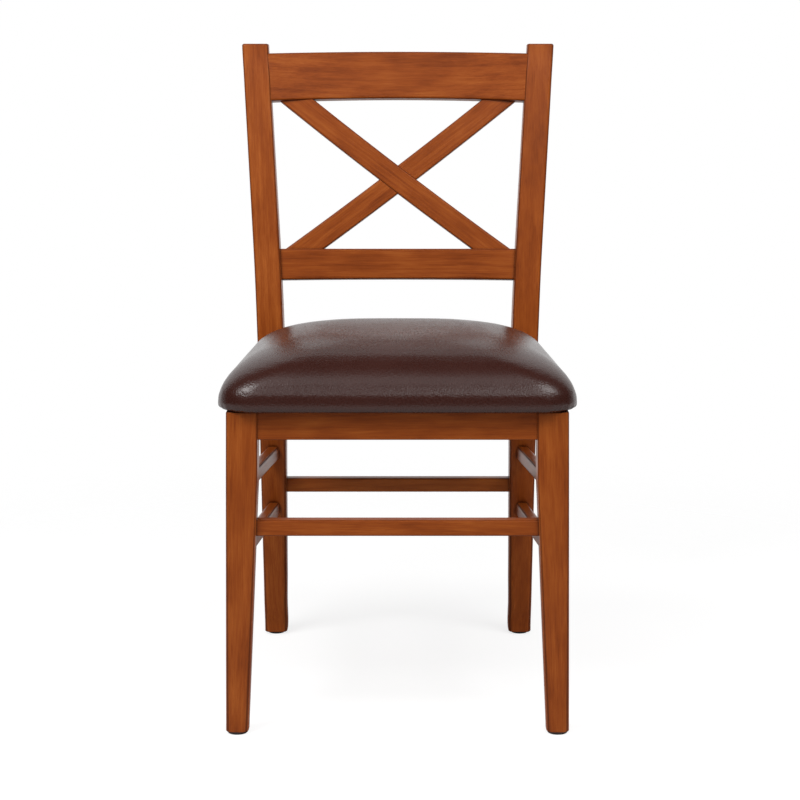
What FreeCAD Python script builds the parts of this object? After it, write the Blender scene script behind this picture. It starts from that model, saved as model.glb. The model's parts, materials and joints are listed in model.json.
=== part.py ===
import FreeCAD, Part
import math
import os

from FreeCAD import Vector

# A cross back dining chair: a glued hardwood frame under an upholstered drop-on seat.
# Millimetres, +Z up from the floor, X across the chair, the front towards -Y.
# While the pieces are made, Y is the depth behind the front face of the front legs. At the
# end all of them move together, so that the origin lies on the floor at the middle of the
# chair's footprint. Half widths are measured from the middle plane. Right is +X.

# Heights of the frame
chair_height = 890.0
frame_top = 426.0

# Front legs: square above, tapered on the inner and rear faces below
leg_outer = 216.5
leg_splay = 6.8
leg_width = 40.0
leg_foot_width = 29.5
leg_taper_height = 335.0
leg_round = 3.5
leg_foot_round = 9.5

# Back posts: one sawn member each, leaning back above the seat and kicking back below it
post_outer = 203.8
post_top_outer = 228.3
post_splay_height = 466.0
post_splay_radius = 4700.0
post_width = 38.5
post_foot_width = 34.0
post_front = 395.0
post_lean = 75.0
post_lean_height = 480.0
post_kick = 55.0
post_kick_height = 330.0
post_bend_radius = 500.0
post_seat_depth = 42.0
post_top_depth = 26.0
post_foot_depth = 34.0
post_round = 4.0
post_foot_round = 8.5
post_end_round = 3.0
foot_ease = 1.5
post_sections = 25

# Top rail, bowed to the rear and arched along both edges. Its heights are in the leaning
# plane of the back, above the line where the posts start to lean.
top_rail_thick = 22.0
top_rail_setback = 2.0
top_rail_bow = 11.0
top_rail_low_end = 333.6
top_rail_low_mid = 339.3
top_rail_high_end = 403.6
top_rail_high_mid = 408.0

# Lower back rail, straight in plan
lower_rail_thick = 21.0
lower_rail_low_end = 71.7
lower_rail_low_mid = 73.0
lower_rail_high = 117.4
rail_edge_round = 3.0

# Cross slats, slightly bent downwards and half-lapped where they cross
slat_width = 33.0
slat_thick = 13.0
slat_top_reach = 148.2
slat_low_reach = 136.8
slat_sag = 2.2
slat_proud = 1.5
slat_edge_round = 2.5

# Aprons under the seat
apron_height = 36.3
front_apron_thick = 22.0
side_apron_thick = 20.0
rear_apron_thick = 22.0
apron_setback = 3.5
apron_edge_round = 1.5

# Stretchers between the legs
cross_stretcher_height = 21.0
cross_stretcher_thick = 18.0
front_stretcher_top = 284.0
front_stretcher_setback = 10.0
rear_stretcher_top = 251.3
rear_stretcher_setback = 8.0
side_stretcher_height = 20.5
side_stretcher_thick = 17.0
upper_stretcher_top = 335.0
lower_stretcher_top = 247.0
side_stretcher_fall = 32.0
stretcher_round = 2.5
side_stretcher_round = 4.5

# Tenons, and the room that glue needs around them in their mortises
tenon_shoulder = 5.0
apron_tenon_thick = 9.0
rail_tenon_thick = 10.0
rail_tenon_length = 22.0
stretcher_tenon_thick = 9.0
stretcher_tenon_length = 18.0
side_tenon_length = 22.0
slat_tenon_width = 34.0
slat_tenon_thick = 7.0
slat_tenon_length = 14.0
mortise_web = 3.0
glue_gap = 0.15
mortise_end_gap = 1.5

# Corner blocks glued and screwed into the four inner corners of the aprons
block_height = 22.0
block_reach = 55.0
block_leg_gap = 4.0
block_blunt = 6.0
block_screw_place = 42.0

# Fasteners
block_screw_shank = 4.0
block_screw_head = 8.0
block_screw_head_high = 3.0
block_screw_bite = 14.0
block_screw_seat = 12.0
counterbore_gap = 1.0
seat_screw_shank = 6.0
seat_screw_head = 12.0
seat_screw_head_high = 4.0
seat_screw_gap = 0.5
seat_screw_inset = 16.0
seat_screw_behind_leg = 14.0
insert_edge = 12.0
washer_width = 16.0
washer_thick = 1.6
insert_flange = 19.0
insert_flange_thick = 1.5
insert_barrel = 8.0
insert_barrel_long = 9.0
thread_gap = 0.05
nail_shank = 2.6
nail_head = 8.0
nail_head_high = 1.2
nail_recess = 0.6
nail_bite = 16.0
staple_crown = 10.0
staple_wire = 0.8
staple_leg = 8.0
staple_pitch = 50.0
staple_edge = 6.0

# Upholstered seat: a plywood board, a crowned foam pad and a stretched cover
seat_overhang = 12.0
seat_half_width = 228.0
seat_rear_half_width = 213.0
seat_post_gap = 2.5
seat_corner = 45.0
seat_least_corner = 12.0
seat_crown = 70.0
seat_rim_high = 17.0
seat_tuck = 8.0
seat_crown_power = 2.7
crown_corner_gain = 230.0
cover_thick = 1.2
cover_turn_under = 60.0
foam_gap = 0.3
foam_wrap = 4.0
crown_corner_limit = 0.85
seat_tuck_angles = (90, 60, 30)
seat_crown_angles = (0, 15, 30, 45, 60, 72, 82)
board_thick = 12.0
dust_cover_thick = 0.6
dust_cover_lap = 14.0
dust_cover_clear = 6.0

# Foot glides
glide_width = 26.0
glide_high = 3.5
glide_round = 1.0

# How far a blank runs into its neighbour before it is scribed to it
overrun = 8.0

# How exactly two places must agree to count as one, and a curve must lie on its chord to
# count as straight, in radians
same_place = 0.01
straight = 1e-6


def box(low, high):
    """Straight block between two opposite corners."""
    size = high - low
    return Part.makeBox(size.x, size.y, size.z, low)


def rod(start, direction, width, length):
    """Round bar of a given width."""
    return Part.makeCylinder(width / 2, length, start, direction)


def rounded_wire(points, radii):
    """Closed outline through points, with each corner turned into a tangent arc."""
    edges = []
    last = None
    first = None
    count = len(points)
    for i in range(count):
        here = points[i]
        back = (points[i - 1] - here).normalize()
        ahead = (points[(i + 1) % count] - here).normalize()
        half = back.getAngle(ahead) / 2
        reach = radii[i] / math.tan(half)
        start = here + back * reach
        end = here + ahead * reach
        middle = here + (back + ahead).normalize() * (radii[i] / math.sin(half) - radii[i])
        if last is not None:
            edges.append(Part.makeLine(last, start))
        else:
            first = start
        edges.append(Part.Arc(start, middle, end).toShape())
        last = end
    edges.append(Part.makeLine(last, first))
    return Part.Wire(edges)


def section(x0, x1, y0, y1, radius, z):
    """Level rounded rectangle at height z."""
    corners = [Vector(x0, y0, z), Vector(x1, y0, z), Vector(x1, y1, z), Vector(x0, y1, z)]
    return rounded_wire(corners, [radius] * len(corners))


def bend(z, vertex, slope, radius):
    """Sideways run of a face that is upright below a vertex and slopes above it, past an arc."""
    angle = math.atan(slope)
    tangent = radius * math.tan(angle / 2)
    start = vertex - tangent
    if z <= start:
        return 0.0
    if z >= vertex + tangent * math.cos(angle):
        return (z - vertex) * slope
    return radius - math.sqrt(radius ** 2 - (z - start) ** 2)


def long_edges(shape, length):
    """Edges of at least a given length."""
    return [edge for edge in shape.Edges if edge.Length >= length]


def level_edges(shape, z):
    """Edges that lie all along at one height."""
    low, high = z - same_place, z + same_place
    return [edge for edge in shape.Edges if low < edge.BoundBox.ZMin and edge.BoundBox.ZMax < high]


def mirrored(shape):
    """The same piece on the other side of the chair."""
    return shape.mirror(Vector(0, 0, 0), Vector(1, 0, 0))


def leg_span(z):
    """Inner and outer half width of a front leg, and its depth, at height z."""
    outer = leg_outer + leg_splay * (1 - z / frame_top)
    taper = max(0.0, 1 - z / leg_taper_height)
    width = leg_width - (leg_width - leg_foot_width) * taper
    return outer - width, outer, width


def post_faces(z):
    """Inner and outer half width, and front and rear depth, of a back post at height z."""
    splay = (post_top_outer - post_outer) / (chair_height - post_splay_height)
    taper = max(0.0, 1 - z / post_kick_height)
    width = post_width - (post_width - post_foot_width) * taper
    outer = post_outer + bend(z, post_splay_height, splay, post_splay_radius)
    lean_rise = chair_height - post_lean_height
    front_lean = bend(z, post_lean_height, post_lean / lean_rise, post_bend_radius)
    front_kick = bend(-z, -post_kick_height, post_kick / post_kick_height, post_bend_radius)
    rear_run = post_lean + post_top_depth - post_seat_depth
    rear_lean = bend(z, post_lean_height, rear_run / lean_rise, post_bend_radius)
    rear_kick_run = post_kick + post_foot_depth - post_seat_depth
    rear_kick = bend(-z, -post_kick_height, rear_kick_run / post_kick_height, post_bend_radius)
    front = post_front + front_lean + front_kick
    rear = post_front + post_seat_depth + rear_lean + rear_kick
    return outer - width, outer, front, rear


def foot_blend(z, height, low, high):
    """A size that goes evenly from its value at the floor to its value at a height, and stays there."""
    share = min(1.0, z / height)
    return low + (high - low) * share


def make_front_leg():
    """Right front leg, before its mortises."""
    levels = []
    for z in (glide_high, leg_taper_height, frame_top):
        inner, outer, depth = leg_span(z)
        corner = foot_blend(z, leg_taper_height, leg_foot_round, leg_round)
        levels.append(section(inner, outer, 0, depth, corner, z))
    leg = Part.makeLoft(levels, True, True)
    return round_ends(leg, foot_ease, foot_ease)


def make_back_post():
    """Right back post, before its mortises."""
    levels = []
    for i in range(post_sections):
        z = glide_high + (chair_height - glide_high) * i / (post_sections - 1)
        inner, outer, front, rear = post_faces(z)
        corner = foot_blend(z, post_kick_height, post_foot_round, post_round)
        levels.append(section(inner, outer, front, rear, corner, z))
    post = Part.makeLoft(levels, True, False, False, 3)
    return round_ends(post, foot_ease, post_end_round)


def round_ends(member, low_round, high_round):
    """Ease the rims of an upright member's two end faces."""
    bounds = member.BoundBox
    for z, radius in ((bounds.ZMin, low_round), (bounds.ZMax, high_round)):
        member = member.makeFillet(radius, level_edges(member, z))
    return member


class Bar:
    """A straight member between two neighbours, with a tenon at each end.

    It is laid out from the middle of one shoulder to the middle of the other."""

    def __init__(self, start, end, thick, high, tenon_thick, tenon_long):
        up = Vector(0, 0, 1)
        along = (end - start).normalize()
        across = up.cross(along).normalize()
        rise = along.cross(across)
        turn = FreeCAD.Rotation(along, across, rise, "XYZ")
        self.place = FreeCAD.Placement(start, turn)
        self.length = start.distanceToPoint(end)
        self.thick = thick
        self.high = high
        self.tenon_thick = tenon_thick
        self.tenon_long = tenon_long

    def placed(self, shape):
        """A shape drawn along the bar, moved to where the bar is."""
        shape.Placement = self.place.multiply(shape.Placement)
        return shape

    def blank(self, edge_round, low_edges_only=False):
        """The bar before its ends are scribed, with its long edges eased."""
        bar = box(
            Vector(-overrun, -self.thick / 2, -self.high / 2),
            Vector(self.length + overrun, self.thick / 2, self.high / 2),
        )
        edges = long_edges(bar, self.length)
        if low_edges_only:
            edges = [edge for edge in edges if edge.CenterOfMass.z < 0]
        return self.placed(bar.makeFillet(edge_round, edges))

    def ends(self, side_gap, end_gap):
        """Both tenons or, with gaps, the mortises that take them."""
        half_thick = self.tenon_thick / 2 + side_gap
        half_high = self.high / 2 - tenon_shoulder + side_gap
        reach = self.tenon_long + end_gap
        near = box(Vector(-reach, -half_thick, -half_high), Vector(tenon_shoulder, half_thick, half_high))
        far = box(
            Vector(self.length - tenon_shoulder, -half_thick, -half_high),
            Vector(self.length + reach, half_thick, half_high),
        )
        return [self.placed(near), self.placed(far)]

    def tenons(self):
        return self.ends(0, 0)

    def mortises(self):
        return self.ends(glue_gap, mortise_end_gap)


def scribed(blank, neighbours, tenons):
    """A blank with its ends cut to its neighbours' faces and its tenons added."""
    return blank.cut(neighbours).fuse(tenons).removeSplitter()


def side_apron_line(y):
    """Half width of the side apron's middle line at a depth."""
    front = leg_outer - apron_setback - side_apron_thick / 2
    rear = post_outer - apron_setback - side_apron_thick / 2
    share = (y - leg_width) / (post_front - leg_width)
    return front + (rear - front) * share


def apron_bars():
    """Front, right side and rear apron."""
    z = frame_top - apron_height / 2
    leg_inner = leg_span(z)[0]
    post_inner = post_faces(z)[0]
    side_tenon_edge = apron_tenon_thick / 2 + mortise_web
    front_y = apron_setback + front_apron_thick / 2
    rear_y = post_front + apron_setback + rear_apron_thick / 2
    front_tenon = side_apron_line(leg_width) - side_tenon_edge - leg_inner
    rear_tenon = side_apron_line(post_front) - side_tenon_edge - post_inner
    front = Bar(
        Vector(-leg_inner, front_y, z),
        Vector(leg_inner, front_y, z),
        front_apron_thick, apron_height, apron_tenon_thick, front_tenon,
    )
    side = Bar(
        Vector(side_apron_line(leg_width), leg_width, z),
        Vector(side_apron_line(post_front), post_front, z),
        side_apron_thick, apron_height, apron_tenon_thick, side_tenon_length,
    )
    rear = Bar(
        Vector(-post_inner, rear_y, z),
        Vector(post_inner, rear_y, z),
        rear_apron_thick, apron_height, apron_tenon_thick, rear_tenon,
    )
    return front, side, rear


def cross_stretcher_bars():
    """Front and rear stretcher."""
    front_z = front_stretcher_top - cross_stretcher_height / 2
    rear_z = rear_stretcher_top - cross_stretcher_height / 2
    leg_inner = leg_span(front_z)[0]
    post_inner, post_outside, post_face, post_back = post_faces(rear_z)
    front_y = front_stretcher_setback + cross_stretcher_thick / 2
    rear_y = post_face + rear_stretcher_setback + cross_stretcher_thick / 2
    bars = []
    for half, y, z in ((leg_inner, front_y, front_z), (post_inner, rear_y, rear_z)):
        bars.append(Bar(
            Vector(-half, y, z), Vector(half, y, z),
            cross_stretcher_thick, cross_stretcher_height, stretcher_tenon_thick, stretcher_tenon_length,
        ))
    return bars


def side_stretcher_bar(top):
    """Right side stretcher whose top meets the front leg at a height. It falls towards the rear."""
    front_z = top - side_stretcher_height / 2
    rear_z = front_z - side_stretcher_fall
    leg_inner, leg_outside, leg_depth = leg_span(front_z)
    post_inner, post_outside, post_face, post_back = post_faces(rear_z)
    return Bar(
        Vector((leg_inner + leg_outside) / 2, leg_depth, front_z),
        Vector((post_inner + post_outside) / 2, post_face, rear_z),
        side_stretcher_thick, side_stretcher_height, stretcher_tenon_thick, side_tenon_length,
    )


# The back is laid out in its own leaning plane: x across, w through its thickness from the
# front face of the posts, v up along the lean from the height where the posts start to lean.

lean_angle = math.atan(post_lean / (chair_height - post_lean_height))


def leaned(shape):
    """A shape drawn in the plane of the back, moved into the chair."""
    turn = FreeCAD.Rotation(Vector(1, 0, 0), -math.degrees(lean_angle))
    place = FreeCAD.Placement(Vector(0, post_front, post_lean_height), turn)
    shape.Placement = place.multiply(shape.Placement)
    return shape


def post_inner_at(v):
    """Inner half width of the posts at a height in the plane of the back."""
    return post_faces(post_lean_height + v * math.cos(lean_angle))[0]


def curve(start, middle, end):
    """Edge through three points: an arc, or a line where they are in line."""
    if (middle - start).getAngle(end - start) < straight:
        return Part.makeLine(start, end)
    return Part.Arc(start, middle, end).toShape()


def bowed(start, middle, end):
    """Edge through three points along a parabola."""
    pole = middle * 2 - (start + end) * 0.5
    edge = Part.BezierCurve()
    edge.setPoles([start, pole, end])
    return edge.toShape()


def band(low, high):
    """Face between two edges that run the same way."""
    low_start, low_end = low.firstVertex().Point, low.lastVertex().Point
    high_start, high_end = high.firstVertex().Point, high.lastVertex().Point
    sides = [Part.makeLine(low_end, high_end), Part.makeLine(high_start, low_start)]
    return Part.Face(Part.Wire(Part.__sortEdges__([low, high] + sides)))


class Rail:
    """A rail of the back, arched along its edges and perhaps bowed in plan."""

    def __init__(self, low_end, low_mid, high_end, high_mid, thick, setback, bow):
        self.low_end = low_end
        self.low_mid = low_mid
        self.high_end = high_end
        self.high_mid = high_mid
        self.thick = thick
        self.setback = setback
        self.bow = bow
        self.shoulder = post_inner_at((low_end + high_end) / 2)

    def at(self, middle, end, x):
        """Value of a gentle curve at half width x, from its values at the middle and the shoulder."""
        return middle + (end - middle) * (x / self.shoulder) ** 2

    def low(self, x):
        return self.at(self.low_mid, self.low_end, x)

    def face(self, x):
        return self.at(self.setback + self.bow, self.setback, x)

    def blank(self):
        """The rail in the plane of the back, running a little into both posts."""
        half = post_inner_at(self.high_mid) + overrun
        low_v = self.low(half)
        high_v = self.at(self.high_mid, self.high_end, half)
        front_w = self.face(half)
        rear_w = front_w + self.thick
        low = curve(Vector(-half, 0, low_v), Vector(0, 0, self.low_mid), Vector(half, 0, low_v))
        high = curve(Vector(-half, 0, high_v), Vector(0, 0, self.high_mid), Vector(half, 0, high_v))
        front = curve(Vector(-half, front_w, 0), Vector(0, self.face(0), 0), Vector(half, front_w, 0))
        rear = curve(
            Vector(-half, rear_w, 0), Vector(0, self.face(0) + self.thick, 0), Vector(half, rear_w, 0))
        deep = self.bow + self.setback + self.thick + 2 * overrun
        elevation = band(low, high).extrude(Vector(0, deep, 0))
        elevation.translate(Vector(0, -overrun, 0))
        plan = band(front, rear).extrude(Vector(0, 0, self.high_mid + overrun))
        rail = elevation.common(plan)
        return rail.makeFillet(rail_edge_round, long_edges(rail, 2 * self.shoulder))

    def ends(self, side_gap, end_gap):
        """Both tenons or, with gaps, the mortises that take them."""
        middle_w = self.setback + self.thick / 2
        half_thick = rail_tenon_thick / 2 + side_gap
        low_v = self.low_end + tenon_shoulder - side_gap
        high_v = self.high_end - tenon_shoulder + side_gap
        peg = box(
            Vector(self.shoulder - tenon_shoulder, middle_w - half_thick, low_v),
            Vector(self.shoulder + rail_tenon_length + end_gap, middle_w + half_thick, high_v),
        )
        return [leaned(mirrored(peg)), leaned(peg)]

    def tenons(self):
        return self.ends(0, 0)

    def mortises(self):
        return self.ends(glue_gap, mortise_end_gap)


class Slats:
    """The two crossed slats between the rails. The front one falls from left to right."""

    def __init__(self, top_rail, slat_middle_w):
        self.top = Vector(-slat_top_reach, 0, top_rail.low(slat_top_reach))
        self.foot = Vector(slat_low_reach, 0, lower_rail_high)
        self.front_w = slat_middle_w - (slat_thick + slat_proud) / 2
        self.rear_w = self.front_w + slat_proud
        self.lap_w = slat_middle_w
        self.along = (self.foot - self.top).normalize()
        self.across = Vector(-self.along.z, 0, self.along.x)

    def outline(self):
        """Face of the front slat, running into both rails."""
        half = self.top.distanceToPoint(self.foot) / 2
        slope = abs(self.along.z / self.along.x)
        reach = half + slat_width / 2 / slope + overrun
        centre = (self.top + self.foot) * 0.5
        end_rise = slat_sag * ((reach / half) ** 2 - 1)
        edges = []
        for side in (-slat_width / 2, slat_width / 2):
            start = centre - self.along * reach + self.across * (side + end_rise)
            middle = centre + self.across * (side - slat_sag)
            end = centre + self.along * reach + self.across * (side + end_rise)
            edges.append(bowed(start, middle, end))
        return band(edges[0], edges[1])

    def slab(self, from_w, to_w):
        """The front slat's outline made thick."""
        slab = self.outline().extrude(Vector(0, to_w - from_w, 0))
        slab.translate(Vector(0, from_w, 0))
        return slab

    def eased(self, slab):
        return slab.makeFillet(slat_edge_round, long_edges(slab, slat_top_reach))

    def front(self):
        """Front slat, notched behind for the rear one."""
        blank = self.eased(self.slab(self.front_w, self.front_w + slat_thick))
        notch = mirrored(self.slab(self.lap_w, self.rear_w + slat_thick + overrun))
        return leaned(blank.cut(notch))

    def rear(self):
        """Rear slat, notched in front for the front one."""
        blank = mirrored(self.eased(self.slab(self.rear_w, self.rear_w + slat_thick)))
        notch = self.slab(self.front_w - overrun, self.lap_w)
        return leaned(blank.cut(notch))

    def ends(self, face_w, side_gap, end_gap):
        """Tenons or mortises at the top and foot of a slat drawn like the front one."""
        half_wide = slat_tenon_width / 2 + side_gap
        half_thick = slat_tenon_thick / 2 + side_gap
        middle_w = face_w + slat_thick / 2
        reach = slat_tenon_length + end_gap
        pegs = []
        for point, low, high in ((self.top, -tenon_shoulder, reach), (self.foot, -reach, tenon_shoulder)):
            pegs.append(box(
                Vector(point.x - half_wide, middle_w - half_thick, point.z + low),
                Vector(point.x + half_wide, middle_w + half_thick, point.z + high),
            ))
        return pegs

    def front_ends(self, side_gap, end_gap):
        return [leaned(peg) for peg in self.ends(self.front_w, side_gap, end_gap)]

    def rear_ends(self, side_gap, end_gap):
        return [leaned(mirrored(peg)) for peg in self.ends(self.rear_w, side_gap, end_gap)]


class Corner:
    """The right inner corner of the aprons, at the front or at the rear."""

    def __init__(self, at_front):
        z = frame_top - block_height / 2
        if at_front:
            self.way = 1
            self.x = leg_span(z)[0]
            self.y = leg_width
            self.apron_y = apron_setback + front_apron_thick
            self.screw_y = leg_width + seat_screw_behind_leg
        else:
            self.way = -1
            self.x = post_faces(z)[0]
            self.y = post_front
            self.apron_y = post_front + apron_setback
            self.screw_y = board_rear() - insert_edge
        self.middle_z = z

    def side_x(self, y):
        """Inner face of the side apron at a depth."""
        return side_apron_line(y) - side_apron_thick / 2

    def outline(self, notched, extra):
        """Block seen from above. It reaches a little into both aprons, to be scribed to them."""
        way = self.way
        far_y = self.y + way * (block_reach + extra)
        far_x = self.x - block_reach - extra
        bite_y = self.apron_y - way * overrun
        bite_x = self.side_x(self.y) + overrun
        points = [Vector(far_x, bite_y, 0)]
        if notched:
            gap_x = self.x - block_leg_gap
            gap_y = self.y + way * block_leg_gap
            points += [Vector(gap_x, bite_y, 0), Vector(gap_x, gap_y, 0), Vector(bite_x, gap_y, 0)]
        else:
            points += [Vector(bite_x, bite_y, 0)]
        points += [
            Vector(bite_x, far_y, 0),
            Vector(self.side_x(far_y) - block_blunt, far_y, 0),
            Vector(far_x, self.apron_y + way * block_blunt, 0),
        ]
        return Part.Face(Part.makePolygon(points + [points[0]]))

    def prism(self, notched, extra, low_z, high_z):
        solid = self.outline(notched, extra).extrude(Vector(0, 0, high_z - low_z))
        solid.translate(Vector(0, 0, low_z))
        return solid

    def block(self):
        return self.prism(True, 0, frame_top - block_height, frame_top)

    def screw_axes(self):
        """Seat of each block screw's head, and the way it is driven."""
        front_x = self.x - block_screw_place
        side_y = self.y + self.way * block_screw_place
        return [
            (
                Vector(front_x, self.apron_y + self.way * block_screw_seat, self.middle_z),
                Vector(0, -self.way, 0),
            ),
            (
                Vector(self.side_x(side_y) - block_screw_seat, side_y, self.middle_z),
                Vector(1, 0, 0),
            ),
        ]

    def block_screws(self, gap):
        """The two screws or, with a gap, the holes that they fill."""
        screws = []
        for seat, driven in self.screw_axes():
            reach = block_screw_seat + block_screw_bite + gap
            shank = rod(seat, driven, block_screw_shank + 2 * gap, reach)
            head = rod(seat, driven * -1, block_screw_head, block_screw_head_high)
            screws.append(shank if gap else head.fuse(shank).removeSplitter())
        return screws

    def counterbores(self):
        """Round pockets that let the screw heads in from the block's diagonal face."""
        width = block_screw_head + 2 * counterbore_gap
        return [rod(seat, driven * -1, width, block_reach) for seat, driven in self.screw_axes()]

    def seat_screw_axis(self):
        """Foot of the block on the axis of the screw that holds the seat."""
        return Vector(self.side_x(self.screw_y) - seat_screw_inset, self.screw_y, frame_top - block_height)


up = Vector(0, 0, 1)


def board_low():
    return frame_top + cover_thick


def board_rear():
    """Depth of the seat board's rear edge."""
    return post_front - seat_post_gap - board_inset()


def board_inset():
    """How far the board stays inside the widest outline of the seat."""
    return seat_tuck + cover_thick + foam_wrap


def seat_outline(inset, z, scale=1.0, corner=None):
    """Outline of the seat at a height, pulled in by an inset and shrunk about its middle."""
    front_y = -seat_overhang
    rear_y = post_front - seat_post_gap
    middle = (front_y + rear_y) / 2
    half_long = ((rear_y - front_y) / 2 - inset) * scale
    front_half = (seat_half_width - inset) * scale
    rear_half = (seat_rear_half_width - inset) * scale
    if corner is None:
        corner = max(seat_corner - inset, seat_least_corner)
    corner = min(corner, crown_corner_limit * half_long)
    points = [
        Vector(-front_half, middle - half_long, z),
        Vector(front_half, middle - half_long, z),
        Vector(rear_half, middle + half_long, z),
        Vector(-rear_half, middle + half_long, z),
    ]
    return rounded_wire(points, [corner] * len(points))


def seat_plate(inset, low_z, high_z):
    """Flat plate of the seat's outline."""
    plate = Part.Face(seat_outline(inset, low_z))
    return plate.extrude(Vector(0, 0, high_z - low_z))


def seat_form(skin):
    """Crowned solid of the seat, a skin's thickness inside its outer face."""
    rim_z = frame_top + seat_rim_high
    tuck_high = seat_rim_high - skin
    levels = []
    for angle in seat_tuck_angles:
        turn = math.radians(angle)
        inset = skin + seat_tuck * (1 - math.cos(turn))
        levels.append(seat_outline(inset, rim_z - tuck_high * math.sin(turn)))
    for angle in seat_crown_angles:
        turn = math.radians(angle)
        scale = math.cos(turn) ** (2 / seat_crown_power)
        corner = (seat_corner - skin) * scale + crown_corner_gain * scale * (1 - scale)
        levels.append(seat_outline(skin, rim_z + (seat_crown - skin) * math.sin(turn), scale, corner))
    return Part.makeLoft(levels, True, False, False, 3)


def seat_screw(foot, gap):
    """Machine screw up through a corner block or, with a gap, the clearance hole around it."""
    length = frame_top + cover_thick + board_thick - foot.z
    shank = rod(foot - up * washer_thick, up, seat_screw_shank + 2 * gap, length)
    if gap:
        return shank
    head = rod(foot - up * (washer_thick + seat_screw_head_high), up, seat_screw_head, seat_screw_head_high)
    return head.fuse(shank).removeSplitter()


def washer(foot):
    plain = rod(foot - up * washer_thick, up, washer_width, washer_thick)
    return plain.cut(rod(foot - up * washer_thick, up, seat_screw_shank + 2 * seat_screw_gap, washer_thick))


def insert(foot, gap):
    """Flanged threaded insert on top of the seat board or, with a gap, the room that it needs."""
    top = Vector(foot.x, foot.y, board_low() + board_thick)
    flange = rod(top, up, insert_flange + 2 * gap, insert_flange_thick + gap)
    barrel = rod(top - up * insert_barrel_long, up, insert_barrel + 2 * gap, insert_barrel_long)
    body = flange.fuse(barrel)
    if gap:
        return body
    thread = rod(
        top - up * insert_barrel_long, up, seat_screw_shank + 2 * thread_gap,
        insert_barrel_long + insert_flange_thick,
    )
    return body.cut(thread).removeSplitter()


def staple(centre, along):
    """Wire staple under the seat: its crown below the dust cover, its legs up into the board."""
    half = staple_wire / 2
    crown = box(Vector(-staple_crown / 2, -half, -staple_wire), Vector(staple_crown / 2, half, 0))
    legs = []
    for x in (-staple_crown / 2, staple_crown / 2 - staple_wire):
        legs.append(box(Vector(x, -half, -staple_wire), Vector(x + staple_wire, half, staple_leg)))
    wire = crown.fuse(legs).removeSplitter()
    turn = FreeCAD.Rotation(Vector(1, 0, 0), along)
    wire.Placement = FreeCAD.Placement(centre, turn)
    return wire


def staple_run(start, end):
    """Staples spaced evenly along a straight edge."""
    run = end - start
    count = int(run.Length / staple_pitch) + 1
    step = run * (1 / count)
    return [staple(start + step * (i + 0.5), run) for i in range(count)]


def staples(corners):
    """Staples around the dust cover, clear of the corner blocks."""
    inset = cover_turn_under - staple_edge
    z = frame_top - dust_cover_thick
    clear = block_reach + dust_cover_clear
    front_y = inset - seat_overhang
    rear_y = post_front - seat_post_gap - inset
    front_x = corners[0].x - clear
    rear_x = corners[1].x - clear
    side_front = corners[0].y + clear
    side_rear = corners[1].y - clear
    result = staple_run(Vector(-front_x, front_y, z), Vector(front_x, front_y, z))
    result += staple_run(Vector(-rear_x, rear_y, z), Vector(rear_x, rear_y, z))
    side = staple_run(
        Vector(seat_side(side_front) - inset, side_front, z),
        Vector(seat_side(side_rear) - inset, side_rear, z),
    )
    return result + side + [mirrored(wire) for wire in side]


def seat_side(y):
    """Widest half width of the seat at a depth."""
    front_y = -seat_overhang
    rear_y = post_front - seat_post_gap
    share = (y - front_y) / (rear_y - front_y)
    return seat_half_width + (seat_rear_half_width - seat_half_width) * share


def glide(foot):
    """Round foot glide with a pocket for its nail."""
    disc = rod(foot, up, glide_width, glide_high)
    disc = disc.makeFillet(glide_round, level_edges(disc, foot.z))
    pocket = rod(foot, up, nail_head + 2 * counterbore_gap, nail_recess + nail_head_high)
    hole = rod(foot, up, nail_shank + 2 * thread_gap, glide_high)
    return disc.cut([pocket, hole])


def glide_nail(foot, gap):
    """Nail that holds a glide or, with a gap, its hole in the leg."""
    start = foot + up * nail_recess
    shank = rod(start, up, nail_shank + 2 * gap, glide_high + nail_bite - nail_recess + gap)
    if gap:
        return shank
    return rod(start, up, nail_head, nail_head_high).fuse(shank).removeSplitter()


def feet():
    """Middle of the right front and right rear foot on the floor."""
    leg_inner, leg_outside, leg_depth = leg_span(glide_high)
    post_inner, post_outside, post_face, post_back = post_faces(glide_high)
    front = Vector((leg_inner + leg_outside) / 2, leg_depth / 2, 0)
    rear = Vector((post_inner + post_outside) / 2, (post_face + post_back) / 2, 0)
    return front, rear


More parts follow.
